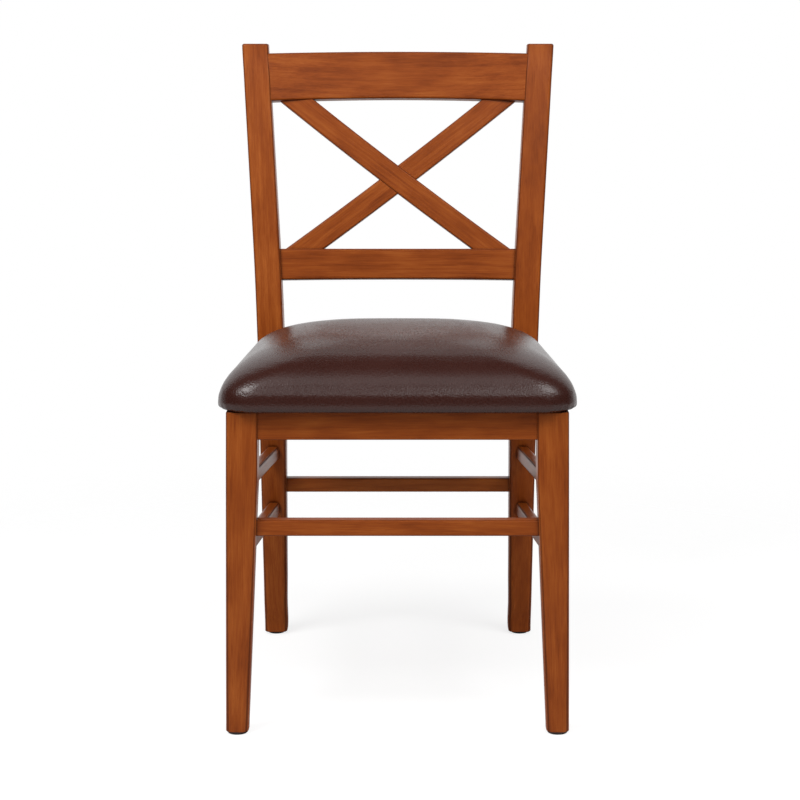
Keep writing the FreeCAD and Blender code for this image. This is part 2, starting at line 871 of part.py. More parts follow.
def build():
    """Every node of the chair by name."""
    front_foot, rear_foot = feet()
    leg = make_front_leg()
    post = make_back_post()
    legs = [leg, mirrored(leg)]
    posts = [post, mirrored(post)]

    # Bars under the seat, scribed to the uprights that they meet
    front_apron_bar, side_apron_bar, rear_apron_bar = apron_bars()
    front_stretcher_bar, rear_stretcher_bar = cross_stretcher_bars()
    upper_bar = side_stretcher_bar(upper_stretcher_top)
    lower_bar = side_stretcher_bar(lower_stretcher_top)
    front_apron = scribed(front_apron_bar.blank(apron_edge_round, True), legs, front_apron_bar.tenons())
    rear_apron = scribed(rear_apron_bar.blank(apron_edge_round, True), posts, rear_apron_bar.tenons())
    side_apron = scribed(side_apron_bar.blank(apron_edge_round, True), [leg, post], side_apron_bar.tenons())
    front_stretcher = scribed(front_stretcher_bar.blank(stretcher_round), legs, front_stretcher_bar.tenons())
    rear_stretcher = scribed(rear_stretcher_bar.blank(stretcher_round), posts, rear_stretcher_bar.tenons())
    upper_stretcher = scribed(upper_bar.blank(side_stretcher_round), [leg, post], upper_bar.tenons())
    lower_stretcher = scribed(lower_bar.blank(side_stretcher_round), [leg, post], lower_bar.tenons())

    # The back
    top = Rail(
        top_rail_low_end, top_rail_low_mid, top_rail_high_end, top_rail_high_mid,
        top_rail_thick, top_rail_setback, top_rail_bow,
    )
    slat_middle_w = top.face(slat_top_reach) + top_rail_thick / 2
    low = Rail(
        lower_rail_low_end, lower_rail_low_mid, lower_rail_high, lower_rail_high,
        lower_rail_thick, slat_middle_w - lower_rail_thick / 2, 0,
    )
    slats = Slats(top, slat_middle_w)
    top_rail = scribed(leaned(top.blank()), posts, top.tenons())
    low_rail = scribed(leaned(low.blank()), posts, low.tenons())
    front_slat = scribed(slats.front(), [top_rail, low_rail], slats.front_ends(0, 0))
    rear_slat = scribed(slats.rear(), [top_rail, low_rail], slats.rear_ends(0, 0))
    slat_mortises = slats.front_ends(glue_gap, mortise_end_gap) + slats.rear_ends(glue_gap, mortise_end_gap)
    top_rail = top_rail.cut(slat_mortises)
    low_rail = low_rail.cut(slat_mortises)

    # Mortises and nail holes in the right uprights. The left ones are their mirror image.
    leg_cuts = front_apron_bar.mortises() + front_stretcher_bar.mortises()
    post_cuts = rear_apron_bar.mortises() + rear_stretcher_bar.mortises() + top.mortises() + low.mortises()
    side_cuts = side_apron_bar.mortises() + upper_bar.mortises() + lower_bar.mortises()
    leg = leg.cut(leg_cuts + side_cuts + [glide_nail(front_foot, thread_gap)])
    post = post.cut(post_cuts + side_cuts + [glide_nail(rear_foot, thread_gap)])

    # Corner blocks and their screws
    corners = [Corner(True), Corner(False)]
    blocks = []
    block_screws = []
    screw_feet = []
    for corner in corners:
        foot = corner.seat_screw_axis()
        screw_feet.append(foot)
        block = corner.block().cut([front_apron, side_apron, rear_apron])
        blocks.append(block.cut(
            corner.block_screws(thread_gap) + corner.counterbores() + [seat_screw(foot, seat_screw_gap)]))
        block_screws += corner.block_screws(0)
    pilots = corners[0].block_screws(thread_gap) + corners[1].block_screws(thread_gap)
    pilots += [mirrored(pilot) for pilot in pilots]
    front_apron = front_apron.cut(pilots)
    rear_apron = rear_apron.cut(pilots)
    side_apron = side_apron.cut(pilots)

    # Seat
    screw_feet += [Vector(-foot.x, foot.y, foot.z) for foot in screw_feet]
    screw_holes = [seat_screw(foot, seat_screw_gap) for foot in screw_feet]
    wires = staples(corners)
    board_top = board_low() + board_thick
    board = seat_plate(board_inset(), board_low(), board_top)
    foam = seat_form(cover_thick + foam_gap).cut([board] + [insert(foot, foam_gap) for foot in screw_feet])
    board = board.cut(screw_holes + [insert(foot, thread_gap) for foot in screw_feet] + wires)
    opening = seat_plate(cover_turn_under, frame_top - cover_thick, board_top)
    cover = seat_form(0).cut([seat_form(cover_thick), opening] + screw_holes + wires)
    dust_cover = seat_plate(cover_turn_under - dust_cover_lap, frame_top - dust_cover_thick, frame_top)
    for corner in corners:
        room = corner.prism(False, dust_cover_clear, frame_top - overrun, frame_top + overrun)
        dust_cover = dust_cover.cut([room, mirrored(room)])
    dust_cover = dust_cover.cut(wires)

    both_feet = {"front": front_foot, "rear": rear_foot}
    nodes = {
        "right_front_leg": leg,
        "right_back_post": post,
        "right_side_apron": side_apron,
        "right_upper_side_stretcher": upper_stretcher,
        "right_lower_side_stretcher": lower_stretcher,
        "right_front_corner_block": blocks[0],
        "right_rear_corner_block": blocks[1],
    }
    for name, foot in both_feet.items():
        nodes["right_" + name + "_glide"] = glide(foot)
    for name, shape in list(nodes.items()):
        nodes[name.replace("right_", "left_")] = mirrored(shape)

    right_screws = Part.makeCompound(block_screws)
    right_nails = Part.makeCompound([glide_nail(foot, 0) for foot in both_feet.values()])
    nodes.update({
        "front_apron": front_apron,
        "rear_apron": rear_apron,
        "front_stretcher": front_stretcher,
        "rear_stretcher": rear_stretcher,
        "top_rail": top_rail,
        "lower_back_rail": low_rail,
        "front_cross_slat": front_slat,
        "rear_cross_slat": rear_slat,
        "corner_block_screws": Part.makeCompound([right_screws, mirrored(right_screws)]),
        "seat_board": board,
        "seat_foam": foam,
        "seat_cover": cover,
        "dust_cover": dust_cover,
        "seat_staples": Part.makeCompound(wires),
        "seat_screws": Part.makeCompound([seat_screw(foot, 0) for foot in screw_feet]),
        "seat_screw_washers": Part.makeCompound([washer(foot) for foot in screw_feet]),
        "seat_screw_inserts": Part.makeCompound([insert(foot, 0) for foot in screw_feet]),
        "glide_nails": Part.makeCompound([right_nails, mirrored(right_nails)]),
    })
    return nodes


def export(nodes):
    """Centre the footprint on the origin and write one file for each node."""
    os.makedirs("parts", exist_ok=True)
    whole = Part.makeCompound(list(nodes.values())).optimalBoundingBox(False, False)
    shift = Vector(-whole.Center.x, -whole.Center.y, -whole.ZMin)
    print("width %.2f depth %.2f height %.2f" % (whole.XLength, whole.YLength, whole.ZLength))
    print("front face of the front legs at y %.2f" % shift.y)
    for name, shape in sorted(nodes.items()):
        solids = [solid.translated(shift) for solid in shape.Solids]
        result = solids[0] if len(solids) == 1 else Part.makeCompound(solids)
        print("%-28s %2d solids %10.1f mm3 %s" % (name, len(solids), result.Volume, result.isValid()))
        result.exportStep("parts/" + name + ".step")


export(build())
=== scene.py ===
# %% [markdown]
# # A cross back chair, dressed for the studio
# The chair is a glued hardwood frame with a padded seat dropped onto it. The frame's pieces
# arrive as finished meshes, each already in its place, in metres, with the front towards -Y.
# This notebook gives them their stained wood, builds the soft seat as a cushion of its own,
# and sets up the floor, the lamps and the camera.

import json
import math

import bpy
import numpy as np
from mathutils import Matrix, Vector


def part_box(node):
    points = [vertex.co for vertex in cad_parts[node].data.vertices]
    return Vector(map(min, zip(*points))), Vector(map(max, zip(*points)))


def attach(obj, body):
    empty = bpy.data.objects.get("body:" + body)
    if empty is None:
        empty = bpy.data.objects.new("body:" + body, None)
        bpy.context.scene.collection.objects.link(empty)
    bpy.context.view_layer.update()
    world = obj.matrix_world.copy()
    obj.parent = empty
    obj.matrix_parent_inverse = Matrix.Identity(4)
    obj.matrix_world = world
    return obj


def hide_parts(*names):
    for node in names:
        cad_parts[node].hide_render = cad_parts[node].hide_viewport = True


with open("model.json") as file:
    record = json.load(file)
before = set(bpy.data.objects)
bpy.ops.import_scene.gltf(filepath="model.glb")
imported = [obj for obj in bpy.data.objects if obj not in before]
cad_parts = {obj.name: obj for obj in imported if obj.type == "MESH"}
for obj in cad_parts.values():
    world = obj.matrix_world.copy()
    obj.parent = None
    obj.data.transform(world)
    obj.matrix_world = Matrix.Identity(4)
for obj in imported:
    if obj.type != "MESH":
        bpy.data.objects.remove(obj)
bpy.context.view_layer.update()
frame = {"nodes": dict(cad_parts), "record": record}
scene = bpy.context.scene
print("pieces in the frame:", len(frame["nodes"]))

# %% [markdown]
# ## Sums on sockets
# A procedural material is a sum of many small parts: a streak here, a darker edge there. In
# the node editor each plus or times is a node to place and wire by hand. Wrapping a socket in
# a small Python class lets the sums be written as ordinary expressions, and the class adds
# the Math nodes. Numbers go through Math nodes, and places and directions through Vector Math.

# %% A socket that Python can do sums with
class Port:
    """An output socket in a material, with the usual operators."""

    def __init__(self, tree, socket):
        self.tree = tree
        self.socket = socket
        self.is_vector = socket.type in ("VECTOR", "RGBA")

    def sum_with(self, operation, first, second):
        vector = any(isinstance(side, Port) and side.is_vector for side in (first, second))
        node = self.tree.nodes.new("ShaderNodeVectorMath" if vector else "ShaderNodeMath")
        node.operation = operation
        for slot, side in zip(node.inputs, (first, second)):
            if isinstance(side, Port):
                self.tree.links.new(side.socket, slot)
            else:
                slot.default_value = (side, side, side) if vector else side
        return Port(self.tree, node.outputs[0])

    def __add__(self, other):
        return self.sum_with("ADD", self, other)

    def __radd__(self, other):
        return self.sum_with("ADD", other, self)

    def __sub__(self, other):
        return self.sum_with("SUBTRACT", self, other)

    def __rsub__(self, other):
        return self.sum_with("SUBTRACT", other, self)

    def __mul__(self, other):
        return self.sum_with("MULTIPLY", self, other)

    def __rmul__(self, other):
        return self.sum_with("MULTIPLY", other, self)

    def __truediv__(self, other):
        return self.sum_with("DIVIDE", self, other)

    def __pow__(self, other):
        return self.sum_with("POWER", self, other)


# %% [markdown]
# ## One helper for every finish
# A finish is a material with one Principled shader. The helper below adds any node in one
# call: its type, its settings, then what its sockets hold. Settings come first because some
# of them, such as a Mix node's data type, decide which sockets the node has.

# %% A finish and its nodes
class Finish:
    """A material with one Principled shader, and short calls that add nodes to it."""

    def __init__(self, name, shader_values):
        self.material = bpy.data.materials.new(name)
        self.material.use_nodes = True
        self.tree = self.material.node_tree
        self.shader = self.tree.nodes["Principled BSDF"]
        for socket, value in shader_values.items():
            self.shader.inputs[socket].default_value = value

    def node(self, kind, settings=None, sockets=None, output=0):
        """Add a node, and return one of its outputs."""
        node = self.tree.nodes.new(kind)
        for name, value in (settings or {}).items():
            if name == "stops":
                self.set_stops(node.color_ramp, value)
            else:
                setattr(node, name, value)
        for name, value in (sockets or {}).items():
            if isinstance(value, Port):
                self.tree.links.new(value.socket, node.inputs[name])
            else:
                node.inputs[name].default_value = value
        return Port(self.tree, node.outputs[output])

    def set_stops(self, ramp, stops):
        while len(ramp.elements) < len(stops):
            ramp.elements.new(0.5)
        for element, (position, colour) in zip(ramp.elements, stops):
            element.position = position
            element.color = (*colour, 1.0)

    def between(self, value, low, high):
        """0 below low, 1 above high, and a smooth rise between them."""
        return self.node(
            "ShaderNodeMapRange", {"interpolation_type": "SMOOTHSTEP"},
            {"Value": value, "From Min": low, "From Max": high},
        )

    def noise(self, place, scale, detail=2.0, roughness=0.5):
        """Noise from 0 to 1 whose features are 1 / scale of a unit apart."""
        return self.node(
            "ShaderNodeTexNoise", {},
            {"Vector": place, "Scale": scale, "Detail": detail, "Roughness": roughness},
        )

    def tint(self, amount, first, second, how="MIX"):
        """Blend two colours by an amount."""
        mixed = self.node("ShaderNodeMix", {"data_type": "RGBA", "blend_type": how}, {0: amount}, 2)
        for slot, colour in ((6, first), (7, second)):
            if isinstance(colour, Port):
                self.tree.links.new(colour.socket, mixed.socket.node.inputs[slot])
            else:
                mixed.socket.node.inputs[slot].default_value = (*colour, 1.0)
        return mixed

    def feed(self, socket, port):
        self.tree.links.new(port.socket, self.shader.inputs[socket])

    def raise_surface(self, height, distance, strength):
        """Turn a height into a bump, with its depth in metres."""
        bump = self.node(
            "ShaderNodeBump", {}, {"Strength": strength, "Distance": distance, "Height": height})
        self.feed("Normal", bump)


def from_srgb(red, green, blue):
    """A colour as a paint chip gives it, from 0 to 255, in the linear light that shaders use."""
    def one(value):
        value /= 255.0
        return value / 12.92 if value <= 0.04045 else ((value + 0.055) / 1.055) ** 2.4
    return (one(red), one(green), one(blue))


# %% [markdown]
# ## Which way the grain runs
# Every member of a chair is sawn so that the grain runs along it, because wood is weak across
# the grain. A texture that ran the same way on all of them would look like printed paper. So
# the long direction of each piece is found from its own points: it is the direction in which
# they spread the most. The other two directions lie square to it, one of them level.

# %% The three directions of a member
NEARLY_STRAIGHT = 0.9


def member_directions(node):
    """Along the member, level across it, and through it, as rows of a matrix."""
    points = np.array([vertex.co for vertex in node.data.vertices])
    spread = np.linalg.svd(np.cov((points - points.mean(0)).T))[0]
    along = Vector(spread[:, 0]).normalized()
    if along.z < 0:
        along.negate()
    reference = Vector((0, 1, 0))
    if abs(along.z) > NEARLY_STRAIGHT:
        reference = Vector((1, 0, 0))
    elif abs(along.y) > NEARLY_STRAIGHT:
        reference = Vector((0, 0, 1))
    across = (reference - along * reference.dot(along)).normalized()
    through = along.cross(across)
    return Matrix((along, across, through))


for name in ("right_back_post", "front_cross_slat", "top_rail"):
    along = member_directions(frame["nodes"][name])[0]
    print(name, "runs along", [round(value, 3) for value in along])

# %% [markdown]
# ## Stained hardwood
# The frame is a close-grained hardwood under a reddish brown stain and a satin lacquer. Four
# things make it look like wood. Growth rings, cut along their length, give long bands. Fine
# fibres give hair-thin streaks, and pores give short dark dashes. The stain itself is uneven,
# in soft patches as wide as two fingers. On top of that, the edges and the seams of the joints
# are painted as thin dark lines. On the rounded edges this is painted shade, standing in for the
# dark rim a lacquered edge shows, and they are found from their normals, which face no side of
# the member squarely. In the seams it is partly stain gathered there and partly painted shade,
# found from the ambient occlusion, which is high only where two faces meet. A photo of
# wood would repeat and smear round the edges, and sums of noise in the wood's own volume don't.

# %% The wood finish
STAIN_DARK = from_srgb(104, 43, 12)
STAIN_MID = from_srgb(144, 69, 23)
STAIN_LIGHT = from_srgb(172, 93, 37)
# Painted shade: the deep brown that the rounded edges are darkened towards.
ARRIS_PAINTED_SHADE = from_srgb(76, 32, 14)
# Colour for the seams: partly stain gathered in them, partly painted shade.
SEAM_STAIN_AND_PAINTED_SHADE = from_srgb(44, 20, 12)
SEAM_REACH = 0.006
RING_WIDTH = 0.0045
RING_LENGTH = 0.30
RING_WANDER = 0.008
POST_KNEE = 0.44
POST_BEND = 0.05
POST_LEAN = 0.13
ARRIS_TURN = (0.09, 0.27)


def length_of(first, second):
    """How long the line is from 0 to the point (first, second)."""
    return (first * first + second * second) ** 0.5


def wood_places(finish, directions, offset, is_post):
    """Places in the member's own directions, in metres, shifted so that no two members match."""
    place = finish.node("ShaderNodeTexCoord", output="Object")
    if is_post:
        height = finish.node("ShaderNodeSeparateXYZ", {}, {"Vector": place}, "Z")
        lean = length_of(height - POST_KNEE, POST_BEND) * POST_LEAN
        place = place - finish.node("ShaderNodeCombineXYZ", {}, {"Y": lean})
    return finish.node(
        "ShaderNodeMapping", {},
        {"Vector": place, "Location": offset, "Rotation": directions.to_euler()},
    )


def stretched(finish, place, along, across):
    """Places counted in feature lengths along the grain and feature widths across it."""
    return finish.node(
        "ShaderNodeVectorMath", {"operation": "MULTIPLY"},
        {0: place, 1: (1 / along, 1 / across, 1 / across)},
    )


def growth_figure(finish, place, pith):
    """Growth rings round a pith that runs beside the member, a few degrees off its length."""
    along, across, through = (
        finish.node("ShaderNodeSeparateXYZ", {}, {"Vector": place}, axis) for axis in "XYZ")
    pith_across, pith_through, tilt = pith
    wander = finish.noise(stretched(finish, place, 0.12, 0.03), 1.0) * RING_WANDER
    radius = length_of(across - pith_across + along * tilt, through - pith_through) + wander
    rings = finish.node(
        "ShaderNodeCombineXYZ", {}, {"X": radius / RING_WIDTH, "Y": along / RING_LENGTH})
    return finish.noise(rings, 1.0, 3.0, 0.55)


def rounded_arris(finish, directions):
    """1 on the rounded edges of a square member, and 0 on its flat faces."""
    normal = finish.node("ShaderNodeNewGeometry", output="Normal")
    facing = []
    for direction in directions:
        dot = finish.node(
            "ShaderNodeVectorMath", {"operation": "DOT_PRODUCT"}, {0: normal, 1: direction}, "Value")
        facing.append(finish.node("ShaderNodeMath", {"operation": "ABSOLUTE"}, {0: dot}))
    most = finish.node("ShaderNodeMath", {"operation": "MAXIMUM"}, {0: facing[0], 1: facing[1]})
    most = finish.node("ShaderNodeMath", {"operation": "MAXIMUM"}, {0: most, 1: facing[2]})
    return finish.between(1 - most, *ARRIS_TURN)


STREAK_SIZE = (0.050, 0.0016)
FIBRE_SIZE = (0.018, 0.0005)
PATCH_SIZE = (0.070, 0.022)
PORE_SIZE = (0.006, 0.0004)
TONE_LEVEL = 0.48
LACQUER_ROUGHNESS = 0.28
GRAIN_DEPTH = 0.00012


def stained_wood(name, directions, offset, pith, is_post, tone_and_painted_light):
    finish = Finish(name, {"IOR": 1.45, "Specular IOR Level": 0.13})
    place = wood_places(finish, directions, offset, is_post)
    figure = growth_figure(finish, place, pith)
    streaks = finish.noise(stretched(finish, place, *STREAK_SIZE), 1.0, 3.0, 0.6)
    fibres = finish.noise(stretched(finish, place, *FIBRE_SIZE), 1.0, 2.0, 0.6)
    patches = finish.noise(stretched(finish, place, *PATCH_SIZE), 1.0, 2.0, 0.5)
    pores = finish.between(finish.noise(stretched(finish, place, *PORE_SIZE), 1.0, 1.0), 0.68, 0.76)
    # The last term lifts or lowers the member's whole tone; for some members it is painted light.
    tone = figure * 0.50 + streaks * 0.50 + fibres * 0.36 + patches * 0.60 - TONE_LEVEL + tone_and_painted_light
    colour = finish.node(
        "ShaderNodeValToRGB", {"stops": ((0.15, STAIN_DARK), (0.5, STAIN_MID), (0.85, STAIN_LIGHT))},
        {"Fac": tone},
    )
    colour = finish.tint(pores * 0.3, colour, STAIN_DARK)
    arris = rounded_arris(finish, directions)
    # Painted shade: the rounded edges are darkened towards a deep brown.
    colour = finish.tint(arris * 0.75, colour, ARRIS_PAINTED_SHADE)
    # Darker where ambient occlusion is high: partly gathered stain, partly painted shade in the inner
    # corners.
    open_air = finish.node("ShaderNodeAmbientOcclusion", {"samples": 8}, {"Distance": SEAM_REACH}, "AO")
    seam_stain_and_shade = 1 - finish.between(open_air, 0.35, 0.95)
    colour = finish.tint(seam_stain_and_shade * 0.7, colour, SEAM_STAIN_AND_PAINTED_SHADE)
    finish.feed("Base Color", colour)
    finish.feed("Roughness", LACQUER_ROUGHNESS + streaks * 0.10 + arris * 0.35)
    finish.raise_surface(fibres * 0.5 + streaks * 0.5 - pores, GRAIN_DEPTH, 0.3)
    return finish.material


# %% [markdown]
# ## Staining the frame
# Each member gets a finish of its own, so that the grain follows it and never repeats. The
# shift along the grain and the place of the pith come from the member's place in the list,
# which makes them the same in every run. Boards differ a little in tone, as sawn ones do. Two
# of the offsets are painted light instead: the rear stretcher is lightened where the seat keeps
# the lamps off it, and the left back post is lightened as if the left lamp fell stronger on it.

# %% Stain every member
FRAME_SLOT = "frame_wood"
# Tone offsets per member; those of the rear stretcher and the left back post are painted light.
TONE_AND_PAINTED_LIGHT = {
    "front_leg": 0.03,
    "left_back_post": 0.06,
    "top_rail": -0.04,
    "apron": -0.02,
    "rear_stretcher": 0.22,
}
slot_of = {row["node"]: row["material_slot"] for row in frame["record"]["subparts"]}


def dress(node, material):
    """Give a piece one material."""
    node.data.materials.clear()
    node.data.materials.append(material)


members = sorted(name for name, slot in slot_of.items() if slot == FRAME_SLOT)
for number, name in enumerate(members):
    node = frame["nodes"][name]
    shift = (0.37 * number, 0.0, 0.0)
    side = 1 if number % 2 else -1
    pith = (0.012 * side * (number % 4), 0.045 + 0.006 * (number % 5), 0.035 * side)
    tone_and_painted_light = next((value for part, value in TONE_AND_PAINTED_LIGHT.items() if part in name), 0.0)
    directions = member_directions(node)
    dress(node, stained_wood("stained_" + name, directions, shift, pith, "post" in name, tone_and_painted_light))
print("stained members:", len(members))

# %% [markdown]
# ## The plain wood under the seat
# Nobody sees the corner blocks or the plywood board without turning the chair over, so the
# maker leaves them bare. Blocks are pale sawn wood. The board shows its thin plies on its edge.

# %% Bare blocks and plywood
def bare_block(name, directions, offset):
    finish = Finish(name, {"Roughness": 0.62})
    place = wood_places(finish, directions, offset, False)
    streaks = finish.noise(stretched(finish, place, 0.050, 0.0018), 1.0, 3.0, 0.6)
    patches = finish.noise(stretched(finish, place, 0.060, 0.020), 1.0)
    colour = finish.tint(streaks * 0.7 + patches * 0.3, from_srgb(150, 112, 72), from_srgb(206, 170, 124))
    finish.feed("Base Color", colour)
    finish.raise_surface(streaks, 0.0002, 0.4)
    return finish.material


PLY_THICK = 0.0024


def plywood(name):
    finish = Finish(name, {"Roughness": 0.7})
    place = finish.node("ShaderNodeTexCoord", output="Object")
    height = finish.node("ShaderNodeSeparateXYZ", {}, {"Vector": place}, "Z")
    ply = finish.node("ShaderNodeMath", {"operation": "PINGPONG"}, {0: height, 1: PLY_THICK})
    ply = ply / PLY_THICK
    streaks = finish.noise(stretched(finish, place, 0.080, 0.003), 1.0, 3.0, 0.6)
    colour = finish.tint(streaks, from_srgb(170, 128, 84), from_srgb(214, 180, 134))
    normal = finish.node("ShaderNodeNewGeometry", output="Normal")
    upward = finish.node("ShaderNodeSeparateXYZ", {}, {"Vector": normal}, "Z")
    edge = 1 - finish.node("ShaderNodeMath", {"operation": "ABSOLUTE"}, {0: upward})
    glue_lines = finish.between(ply, 0.42, 0.58) * edge
    colour = finish.tint(glue_lines * 0.6, colour, from_srgb(110, 72, 44))
    finish.feed("Base Color", colour)
    finish.raise_surface(streaks, 0.0002, 0.3)
    return finish.material


blocks = sorted(name for name, slot in slot_of.items() if slot == "block_wood")
for number, name in enumerate(blocks):
    node = frame["nodes"][name]
    dress(node, bare_block("bare_" + name, member_directions(node), (0.21 * number, 0.0, 0.05 * number)))
dress(frame["nodes"]["seat_board"], plywood("seat_plywood"))
print("bare blocks:", len(blocks))

# %% [markdown]
# ## Cloth, steel and nylon under the seat
# The underside is closed by a black nonwoven cloth, held by wire staples. Zinc-plated screws
# hold the blocks and the seat. Small nylon glides keep the feet off the floor.

# %% Dust cloth, steel and glides
def dust_cloth():
    finish = Finish("dust_cloth", {"Roughness": 0.95, "Specular IOR Level": 0.2})
    place = finish.node("ShaderNodeTexCoord", output="Object")
    fibres = finish.noise(place, 700.0, 3.0, 0.7)
    dimples = finish.node("ShaderNodeTexVoronoi", {}, {"Vector": place, "Scale": 450.0}, "Distance")
    finish.feed("Base Color", finish.tint(fibres, from_srgb(16, 16, 17), from_srgb(44, 43, 42)))
    finish.raise_surface(fibres + dimples, 0.0003, 0.5)
    return finish.material


def plated_steel():
    finish = Finish("plated_steel", {"Metallic": 1.0, "Roughness": 0.3})
    place = finish.node("ShaderNodeTexCoord", output="Object")
    bloom = finish.noise(place, 260.0, 3.0, 0.6)
    finish.feed("Base Color", finish.tint(bloom, from_srgb(150, 150, 152), from_srgb(205, 204, 200)))
    finish.feed("Roughness", 0.24 + bloom * 0.2)
    return finish.material


def nylon():
    finish = Finish("glide_nylon", {"Roughness": 0.5})
    place = finish.node("ShaderNodeTexCoord", output="Object")
    scuffs = finish.noise(place, 320.0, 4.0, 0.7)
    finish.feed("Base Color", finish.tint(scuffs, from_srgb(28, 20, 16), from_srgb(58, 46, 38)))
    finish.feed("Roughness", 0.38 + scuffs * 0.3)
    finish.raise_surface(scuffs, 0.0002, 0.3)
    return finish.material


hidden_finishes = {"dust_cloth": dust_cloth(), "fastener_steel": plated_steel(), "glide_nylon": nylon()}
for name, slot in slot_of.items():
    if slot in hidden_finishes:
        dress(frame["nodes"][name], hidden_finishes[slot])
print("small finishes:", sorted(hidden_finishes))

# %% [markdown]
# ## The cushion's starting form
# The seat is a slab of foam on a board, pulled into a crown by the cover. Seen from above it
# is a trapezium with round corners, a little narrower at the rear. Seen from the side it is
# widest just above the wood and rounds over in one sweep. The form is a stack of level rings,
# each with the same count of points, so that neighbouring rings join up in quads. It starts
# a few millimetres wide, because the remesh in the next step takes about as much off it.

# %% Rings of the cushion
seat_low, seat_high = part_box("seat_cover")
REAR_TAPER = 0.015
RIM_HIGH = 0.009
CROWN_POWER = 3.9
CORNER_RADIUS = 0.045
CORNER_GAIN = 0.150
SIDE_ROOM = -0.003
MOST_CORNER = 0.85
CROWN_ROOM = 0.0045
REST_GAP = 0.0003
ARC_POINTS = 10
SIDE_POINTS = 14
RIM_ANGLES = (90, 65, 40, 20)
CROWN_ANGLES = range(0, 84, 6)


def seat_ring(scale, corner, z):
    """Round-cornered trapezium about the middle of the seat."""
    middle_y = (seat_low.y + seat_high.y) / 2
    half_long = ((seat_high.y - seat_low.y) / 2 - SIDE_ROOM) * scale
    front_half = (seat_high.x - SIDE_ROOM) * scale
    rear_half = (seat_high.x - REAR_TAPER - SIDE_ROOM) * scale
    corner = min(corner, MOST_CORNER * half_long)
    rounds = []
    for x, y, start in (
        (front_half - corner, -half_long + corner, -90),
        (rear_half - corner, half_long - corner, 0),
        (-rear_half + corner, half_long - corner, 90),
        (-front_half + corner, -half_long + corner, 180),
    ):
        for step in range(ARC_POINTS):
            turn = math.radians(start + 90 * step / (ARC_POINTS - 1))
            rounds.append(Vector((x + corner * math.cos(turn), y + corner * math.sin(turn))))
    ring = []
    for number, point in enumerate(rounds):
        ring.append(point)
        if number % ARC_POINTS == ARC_POINTS - 1:
            after = rounds[(number + 1) % len(rounds)]
            shares = [(step + 1) / (SIDE_POINTS + 1) for step in range(SIDE_POINTS)]
            ring += [point.lerp(after, share) for share in shares]
    return [Vector((point.x, point.y + middle_y, z)) for point in ring]


def cushion_rings():
    """Rings from the flat underside up over the crown."""
    low = seat_low.z + REST_GAP
    rim_z = low + RIM_HIGH
    crown = seat_high.z - rim_z - CROWN_ROOM
    rings = []
    for angle in RIM_ANGLES:
        turn = math.radians(angle)
        rings.append(seat_ring(1.0, CORNER_RADIUS, rim_z - RIM_HIGH * math.sin(turn)))
    for angle in CROWN_ANGLES:
        turn = math.radians(angle)
        scale = math.cos(turn) ** (2 / CROWN_POWER)
        corner = CORNER_RADIUS * scale + CORNER_GAIN * scale * (1 - scale)
        rings.append(seat_ring(scale, corner, rim_z + crown * math.sin(turn)))
    return rings


def mesh_from_rings(name, rings):
    count = len(rings[0])
    points = [point for ring in rings for point in ring]
    faces = [list(reversed(range(count)))]
    for level in range(len(rings) - 1):
        base = level * count
        for i in range(count):
            j = (i + 1) % count
            faces.append((base + i, base + j, base + count + j, base + count + i))
    last = (len(rings) - 1) * count
    faces.append([last + i for i in range(count)])
    mesh = bpy.data.meshes.new(name)
    mesh.from_pydata(points, [], faces)
    mesh.validate()
    piece = bpy.data.objects.new(name, mesh)
    scene.collection.objects.link(piece)
    return piece


cushion = mesh_from_rings("seat_cushion", cushion_rings())
print("cushion form:", len(cushion.data.vertices), "points")

# %% [markdown]
# ## Letting the cover swell
# Foam under a tight cover pushes outwards everywhere, which is what Blender's cloth does with
# pressure inside it. The form is remeshed into even little faces first, so that the cloth has
# no preferred direction. The underside is pinned, because it is stapled to the board, and the
# hold fades out above the rim. Cloth alone goes baggy and folds at the corners, where foam is
# stiff. So each point's movement is averaged with its neighbours' many times over, and the
# whole is scaled down until no point moves more than a few millimetres. Sculpting the form by
# hand would be quicker to look at but harder to repeat.

# %% Remesh and swell the cushion
VOXEL = 0.006
PRESSURE = 4.0
LAST_FRAME = 20
MOST_SWELL = 0.005
HELD_HEIGHT = 0.015
EVEN_OUT_ROUNDS = 160


def applied(piece):
    """Bake the modifiers of a piece into its mesh."""
    evaluated = piece.evaluated_get(bpy.context.evaluated_depsgraph_get())
    mesh = bpy.data.meshes.new_from_object(evaluated)
    piece.modifiers.clear()
    piece.data = mesh


def remesh(piece):
    maker = piece.modifiers.new("even_faces", "REMESH")
    maker.mode = "VOXEL"
    maker.voxel_size = VOXEL
    applied(piece)


def coordinates(mesh):
    flat = np.zeros(len(mesh.vertices) * 3)
    mesh.vertices.foreach_get("co", flat)
    return flat.reshape(-1, 3)


def evened_out(mesh, moved):
    """Average each point's movement with its neighbours', as stiff foam under the cover does."""
    pairs = np.array([edge.vertices[:] for edge in mesh.edges])
    count = np.bincount(pairs.ravel(), minlength=len(moved))[:, None]
    for _ in range(EVEN_OUT_ROUNDS):
        total = np.zeros_like(moved)
        np.add.at(total, pairs[:, 0], moved[pairs[:, 1]])
        np.add.at(total, pairs[:, 1], moved[pairs[:, 0]])
        moved = 0.5 * moved + 0.5 * total / count
    return moved


